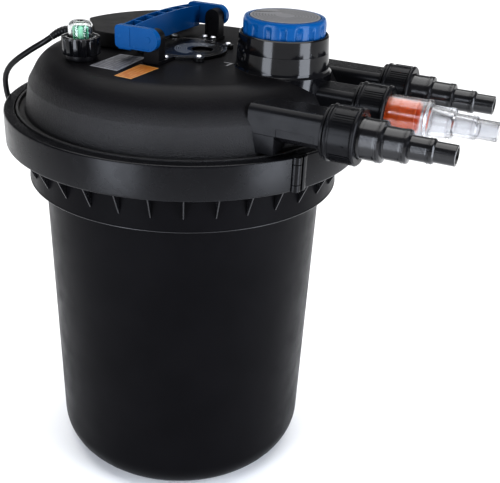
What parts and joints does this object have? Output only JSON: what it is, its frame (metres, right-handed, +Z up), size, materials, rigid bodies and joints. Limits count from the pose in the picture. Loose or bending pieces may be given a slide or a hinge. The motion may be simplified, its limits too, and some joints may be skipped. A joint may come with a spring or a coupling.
{
  "type": "pond filter",
  "caption": "Pressurized pond filter: lidded bucket held by a clamp ring, with stepped hose connectors, a selector knob, a folding carrying handle and a mains lead.",
  "frame": {"origin": "centre of the flat underside of the bucket, on the floor", "axes": "+Z up, +X out of the hose connectors"},
  "size_m": [0.5522, 0.4549, 0.5293],
  "materials": {
    "black_plastic": "satin black",
    "black_gloss_plastic": "gloss black",
    "grey_disc_plastic": "satin dark grey",
    "blue_plastic": "satin blue",
    "clear_plastic": "clear, polished",
    "red_plastic": "gloss orange-red",
    "green_plastic": "translucent green",
    "inner_plastic": "moulded, dark grey",
    "steel": "bright plated",
    "black_rubber": "matt",
    "quartz": "clear",
    "lamp_glass": "clear",
    "module_case": "satin grey",
    "blue_foam": "open foam",
    "black_foam": "open foam",
    "green_foam": "open foam"
  },
  "bodies": {
    "vessel": {"back_duct": "inner_plastic", "ballast_housing": "black_plastic", "ballast_module": "module_case", "bottom_grid": "inner_plastic", "bucket": "black_plastic", "cable_gland_body": "black_plastic", "cable_gland_nut": "black_gloss_plastic", "centre_cover": "black_gloss_plastic", "clamp_bolt": "steel", "clamp_hinge_pin": "steel", "clamp_ring_back": "black_plastic", "clamp_ring_front": "black_plastic", "clamp_wing_nut": "black_plastic", "cord_coil": "black_rubber", "cover_screw_1": "steel", "cover_screw_2": "steel", "cover_screw_3": "steel", "cover_screw_4": "steel", "foam_lower": "blue_foam", "foam_middle": "black_foam", "foam_upper": "green_foam", "front_duct": "inner_plastic", "handle_post_far": "black_plastic", "handle_post_near": "black_plastic", "hose_seal_back": "black_rubber", "hose_seal_front": "black_rubber", "hose_seal_middle": "black_rubber", "indicator_core": "green_plastic", "indicator_seat": "black_plastic", "lamp": "lamp_glass", "lamp_holder": "inner_plastic", "lid": "black_plastic", "lid_gasket": "black_rubber", "mains_cord": "black_rubber", "mains_plug": "black_rubber", "pivot_pin_far": "steel", "pivot_pin_near": "steel", "post_screw_1": "steel", "post_screw_2": "steel", "post_screw_3": "steel", "post_screw_4": "steel", "quartz_sleeve": "quartz", "standpipe": "inner_plastic", "strain_relief": "black_rubber", "top_grid": "inner_plastic", "valve_collar": "black_gloss_plastic", "valve_stem_seal": "black_rubber"},
    "bail": {"bail_handle": "blue_plastic"},
    "valve": {"valve_knob": "blue_plastic", "knob_disc": "grey_disc_plastic", "valve_rotor": "inner_plastic"},
    "front_tail": {"hosetail_front": "black_plastic"},
    "front_nut": {"union_nut_front": "black_plastic"},
    "middle_tail": {"hosetail_middle": "clear_plastic", "sight_sleeve": "red_plastic"},
    "middle_nut": {"union_nut_middle": "black_plastic"},
    "back_tail": {"hosetail_back": "black_plastic"},
    "back_nut": {"union_nut_back": "black_plastic"},
    "indicator_cap": {"indicator_dome": "clear_plastic"},
    "indicator_ring": {"indicator_nut": "black_gloss_plastic"}
  },
  "joints": [
    {"name": "bail_hinge", "type": "hinge", "parent": "vessel", "child": "bail", "pos_m": [0, 0, 0.504], "axis": [0, 1, 0], "range_deg": [0, 180]},
    {"name": "valve_turn", "type": "hinge", "parent": "vessel", "child": "valve", "pos_m": [0.11, 0, 0.45], "axis": [0, 0, 1], "range_deg": [0, 180]},
    {"name": "front_tail_slide", "type": "slide", "parent": "vessel", "child": "front_tail", "axis": [1, 0, 0], "range_m": [0, 0.008]},
    {"name": "front_nut_turn", "type": "hinge", "parent": "front_tail", "child": "front_nut", "pos_m": [0.196, -0.0843, 0.4508], "axis": [1, 0, 0], "range_deg": [0, 720]},
    {"name": "middle_tail_slide", "type": "slide", "parent": "vessel", "child": "middle_tail", "axis": [1, 0, 0], "range_m": [0, 0.008]},
    {"name": "middle_nut_turn", "type": "hinge", "parent": "middle_tail", "child": "middle_nut", "pos_m": [0.196, 0, 0.4508], "axis": [1, 0, 0], "range_deg": [0, 720]},
    {"name": "back_tail_slide", "type": "slide", "parent": "vessel", "child": "back_tail", "axis": [1, 0, 0], "range_m": [0, 0.008]},
    {"name": "back_nut_turn", "type": "hinge", "parent": "back_tail", "child": "back_nut", "pos_m": [0.196, 0.0843, 0.4508], "axis": [1, 0, 0], "range_deg": [0, 720]},
    {"name": "indicator_cap_slide", "type": "slide", "parent": "vessel", "child": "indicator_cap", "axis": [0, 0, 1], "range_m": [0, 0.004]},
    {"name": "indicator_ring_turn", "type": "hinge", "parent": "indicator_cap", "child": "indicator_ring", "pos_m": [-0.0675, -0.091, 0.49], "axis": [0, 0, 1], "range_deg": [0, 720]}
  ],
  "couplings": [
    {"joint": "front_tail_slide", "follows": "front_nut_turn", "m_per_rad": 0.0006366},
    {"joint": "middle_tail_slide", "follows": "middle_nut_turn", "m_per_rad": 0.0006366},
    {"joint": "back_tail_slide", "follows": "back_nut_turn", "m_per_rad": 0.0006366},
    {"joint": "indicator_cap_slide", "follows": "indicator_ring_turn", "m_per_rad": 0.0003183}
  ]
}
